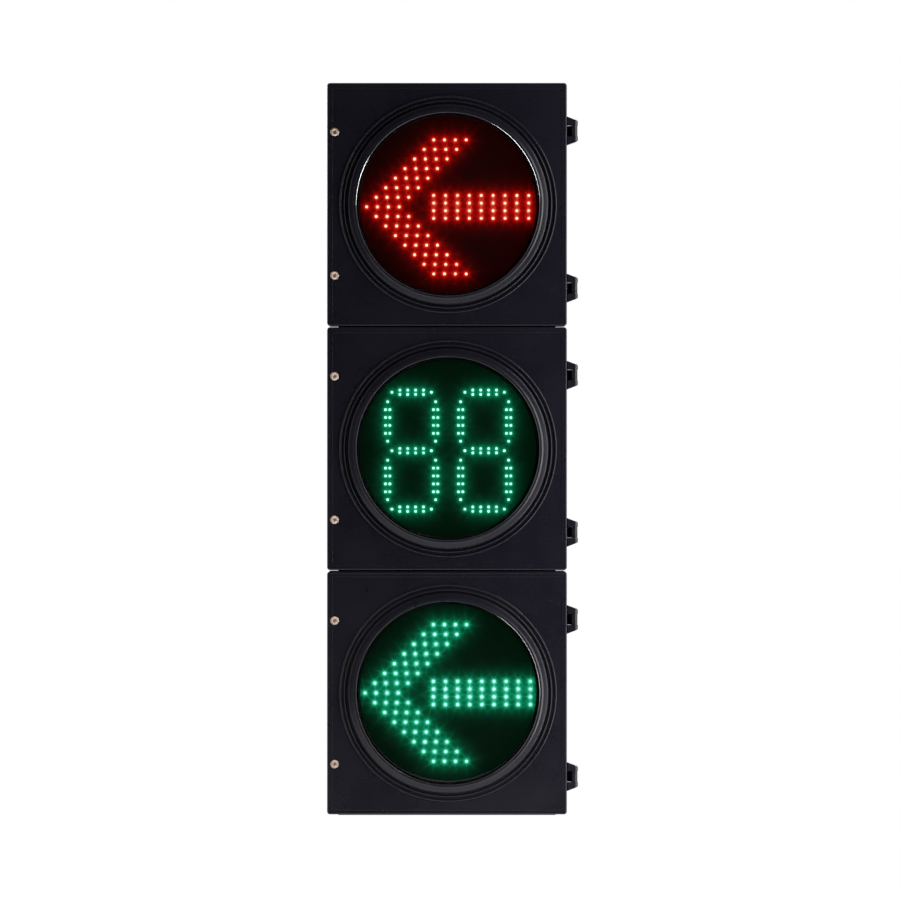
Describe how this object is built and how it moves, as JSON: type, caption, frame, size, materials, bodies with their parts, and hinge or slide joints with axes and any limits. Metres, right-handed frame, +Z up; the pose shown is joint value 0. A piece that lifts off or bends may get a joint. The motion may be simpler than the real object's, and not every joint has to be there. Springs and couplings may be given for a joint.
{
  "type": "traffic signal head",
  "caption": "Vertical LED traffic signal head with stacked hinged sections: red arrow above, countdown digits in the middle, green arrow below.",
  "frame": {"origin": "centre of the bolt pattern on the bottom face, at the housings' mid-depth", "axes": "+X the viewer's right, the lit front faces -Y, +Z up"},
  "size_m": [0.565, 0.125, 1.65],
  "materials": {
    "cast_coat": "die-cast, black powder coat",
    "door_coat": "die-cast, black powder coat",
    "epdm": "matte",
    "circuit_board": "solder mask",
    "module_plastic": "moulded",
    "driver_case": "satin",
    "spring_steel": "satin",
    "pin_steel": "satin",
    "nickel_screw": "nickel plated",
    "cable_jacket": "matte",
    "green_lens": "tinted clear moulding",
    "green_led": "lit",
    "red_lens": "tinted clear moulding",
    "red_led": "lit",
    "zinc_steel": "zinc plated",
    "terminal_plastic": "moulded",
    "brass_screw": "turned",
    "connector_plastic": "moulded",
    "gland_plastic": "moulded"
  },
  "bodies": {
    "head": {"housing_bottom": "cast_coat", "housing_middle": "cast_coat", "housing_top": "cast_coat", "coupling_bolts": "zinc_steel", "coupling_washers": "zinc_steel", "coupling_nuts": "zinc_steel", "coupling_gaskets": "epdm", "terminal_block": "terminal_plastic", "terminal_screws": "brass_screw", "harness": "cable_jacket", "connectors": "connector_plastic", "cable_gland": "gland_plastic", "bottom_plug": "gland_plastic", "earth_stud": "brass_screw"},
    "door_bottom": {"door_bottom": "door_coat", "door_gasket_bottom": "epdm", "lens_bottom": "green_lens", "lens_gasket_bottom": "epdm", "led_board_bottom": "circuit_board", "leds_bottom": "green_led", "module_shell_bottom": "module_plastic", "driver_bottom": "driver_case", "module_clips_bottom": "spring_steel", "hinge_pins_bottom": "pin_steel", "lead_bottom": "cable_jacket"},
    "ring_upper_bottom": {"ring_upper_bottom": "pin_steel"},
    "screw_upper_bottom": {"screw_upper_bottom": "nickel_screw"},
    "ring_lower_bottom": {"ring_lower_bottom": "pin_steel"},
    "screw_lower_bottom": {"screw_lower_bottom": "nickel_screw"},
    "door_middle": {"door_middle": "door_coat", "door_gasket_middle": "epdm", "lens_middle": "green_lens", "lens_gasket_middle": "epdm", "led_board_middle": "circuit_board", "leds_middle": "green_led", "module_shell_middle": "module_plastic", "driver_middle": "driver_case", "module_clips_middle": "spring_steel", "hinge_pins_middle": "pin_steel", "lead_middle": "cable_jacket"},
    "ring_upper_middle": {"ring_upper_middle": "pin_steel"},
    "screw_upper_middle": {"screw_upper_middle": "nickel_screw"},
    "ring_lower_middle": {"ring_lower_middle": "pin_steel"},
    "screw_lower_middle": {"screw_lower_middle": "nickel_screw"},
    "door_top": {"door_top": "door_coat", "door_gasket_top": "epdm", "lens_top": "red_lens", "lens_gasket_top": "epdm", "led_board_top": "circuit_board", "leds_top": "red_led", "module_shell_top": "module_plastic", "driver_top": "driver_case", "module_clips_top": "spring_steel", "hinge_pins_top": "pin_steel", "lead_top": "cable_jacket"},
    "ring_upper_top": {"ring_upper_top": "pin_steel"},
    "screw_upper_top": {"screw_upper_top": "nickel_screw"},
    "ring_lower_top": {"ring_lower_top": "pin_steel"},
    "screw_lower_top": {"screw_lower_top": "nickel_screw"}
  },
  "joints": [
    {"name": "door_hinge_bottom", "type": "hinge", "parent": "head", "child": "door_bottom", "pos_m": [0.287, -0.0615, 0.2765], "axis": [0, 0, 1], "range_deg": [0, 120]},
    {"name": "screw_travel_upper_bottom", "type": "slide", "parent": "door_bottom", "child": "ring_upper_bottom", "axis": [0, -1, 0], "range_m": [0, 0.012]},
    {"name": "screw_turn_upper_bottom", "type": "hinge", "parent": "ring_upper_bottom", "child": "screw_upper_bottom", "pos_m": [-0.253, -0.06, 0.4395], "axis": [0, -1, 0], "range_deg": [0, 3457]},
    {"name": "screw_travel_lower_bottom", "type": "slide", "parent": "door_bottom", "child": "ring_lower_bottom", "axis": [0, -1, 0], "range_m": [0, 0.012]},
    {"name": "screw_turn_lower_bottom", "type": "hinge", "parent": "ring_lower_bottom", "child": "screw_lower_bottom", "pos_m": [-0.253, -0.06, 0.1165], "axis": [0, -1, 0], "range_deg": [0, 3457]},
    {"name": "door_hinge_middle", "type": "hinge", "parent": "head", "child": "door_middle", "pos_m": [0.287, -0.0615, 0.8265], "axis": [0, 0, 1], "range_deg": [0, 120]},
    {"name": "screw_travel_upper_middle", "type": "slide", "parent": "door_middle", "child": "ring_upper_middle", "axis": [0, -1, 0], "range_m": [0, 0.012]},
    {"name": "screw_turn_upper_middle", "type": "hinge", "parent": "ring_upper_middle", "child": "screw_upper_middle", "pos_m": [-0.253, -0.06, 0.9895], "axis": [0, -1, 0], "range_deg": [0, 3457]},
    {"name": "screw_travel_lower_middle", "type": "slide", "parent": "door_middle", "child": "ring_lower_middle", "axis": [0, -1, 0], "range_m": [0, 0.012]},
    {"name": "screw_turn_lower_middle", "type": "hinge", "parent": "ring_lower_middle", "child": "screw_lower_middle", "pos_m": [-0.253, -0.06, 0.6665], "axis": [0, -1, 0], "range_deg": [0, 3457]},
    {"name": "door_hinge_top", "type": "hinge", "parent": "head", "child": "door_top", "pos_m": [0.287, -0.0615, 1.3765], "axis": [0, 0, 1], "range_deg": [0, 120]},
    {"name": "screw_travel_upper_top", "type": "slide", "parent": "door_top", "child": "ring_upper_top", "axis": [0, -1, 0], "range_m": [0, 0.012]},
    {"name": "screw_turn_upper_top", "type": "hinge", "parent": "ring_upper_top", "child": "screw_upper_top", "pos_m": [-0.253, -0.06, 1.5395], "axis": [0, -1, 0], "range_deg": [0, 3457]},
    {"name": "screw_travel_lower_top", "type": "slide", "parent": "door_top", "child": "ring_lower_top", "axis": [0, -1, 0], "range_m": [0, 0.012]},
    {"name": "screw_turn_lower_top", "type": "hinge", "parent": "ring_lower_top", "child": "screw_lower_top", "pos_m": [-0.253, -0.06, 1.2165], "axis": [0, -1, 0], "range_deg": [0, 3457]}
  ],
  "couplings": [
    {"joint": "screw_turn_upper_bottom", "follows": "screw_travel_upper_bottom", "rad_per_m": 5026.5},
    {"joint": "screw_turn_lower_bottom", "follows": "screw_travel_lower_bottom", "rad_per_m": 5026.5},
    {"joint": "screw_turn_upper_middle", "follows": "screw_travel_upper_middle", "rad_per_m": 5026.5},
    {"joint": "screw_turn_lower_middle", "follows": "screw_travel_lower_middle", "rad_per_m": 5026.5},
    {"joint": "screw_turn_upper_top", "follows": "screw_travel_upper_top", "rad_per_m": 5026.5},
    {"joint": "screw_turn_lower_top", "follows": "screw_travel_lower_top", "rad_per_m": 5026.5}
  ]
}
